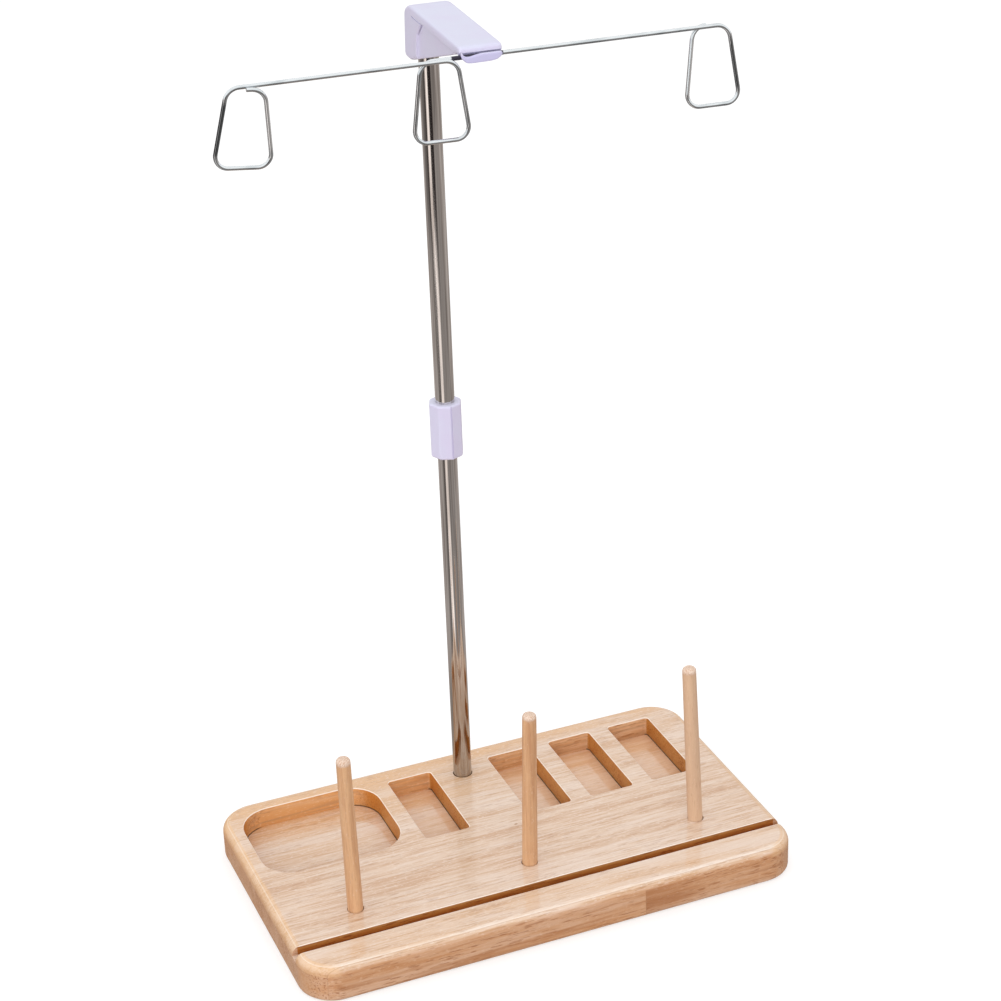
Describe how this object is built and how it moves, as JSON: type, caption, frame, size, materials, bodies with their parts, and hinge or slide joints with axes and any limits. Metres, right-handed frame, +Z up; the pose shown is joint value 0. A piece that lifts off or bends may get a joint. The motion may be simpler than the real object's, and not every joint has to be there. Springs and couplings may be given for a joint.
{
  "type": "thread cone holder",
  "caption": "Flat wooden board with upright spool pins, routed pockets and a tall steel mast whose plastic head holds a bent wire that guides the threads.",
  "frame": {"origin": "middle of the board's underside, on the surface that the holder stands on", "axes": "+Z up along the mast, +X along the board to the right as seen from the front, +Y to the back, where the mast stands"},
  "size_m": [0.27, 0.16, 0.4496],
  "materials": {
    "board_wood": "satin lacquer over pale rubberwood",
    "dowel_wood": "bare sanded dowel",
    "mast_steel": "bright drawn tube",
    "guide_wire": "bright drawn wire",
    "fixing_steel": "zinc plated",
    "white_plastic": "satin moulded, slightly lavender white"
  },
  "bodies": {
    "base": {"base_board": "board_wood", "lower_tube": "mast_steel", "tube_end_plug": "fixing_steel", "mast_washer": "fixing_steel", "mast_screw": "fixing_steel", "coupling_sleeve": "white_plastic"},
    "pin_left": {"spool_pin_left": "dowel_wood"},
    "pin_center": {"spool_pin_center": "dowel_wood"},
    "pin_right": {"spool_pin_right": "dowel_wood"},
    "upper_mast": {"upper_tube": "mast_steel"},
    "head": {"head_bracket": "white_plastic"},
    "guide": {"thread_guide": "guide_wire"}
  },
  "joints": [
    {"name": "pin_left_lift", "type": "slide", "parent": "base", "child": "pin_left", "axis": [-0.0105, 0, 0.9999], "range_m": [0, 0.014]},
    {"name": "pin_center_lift", "type": "slide", "parent": "base", "child": "pin_center", "axis": [0.0262, 0, 0.9997], "range_m": [0, 0.014]},
    {"name": "pin_right_lift", "type": "slide", "parent": "base", "child": "pin_right", "axis": [-0.0384, 0, 0.9993], "range_m": [0, 0.014]},
    {"name": "mast_lift", "type": "slide", "parent": "base", "child": "upper_mast", "axis": [0, 0, 1], "range_m": [0, 0.016]},
    {"name": "head_turn", "type": "hinge", "parent": "upper_mast", "child": "head", "pos_m": [0, 0.0574, 0.432], "axis": [0, 0, 1], "continuous": true},
    {"name": "guide_tilt", "type": "hinge", "parent": "head", "child": "guide", "pos_m": [-0.00606, -0.02708, 0.4452], "axis": [0.9974, -0.0715, 0], "range_deg": [-180, 70]}
  ]
}
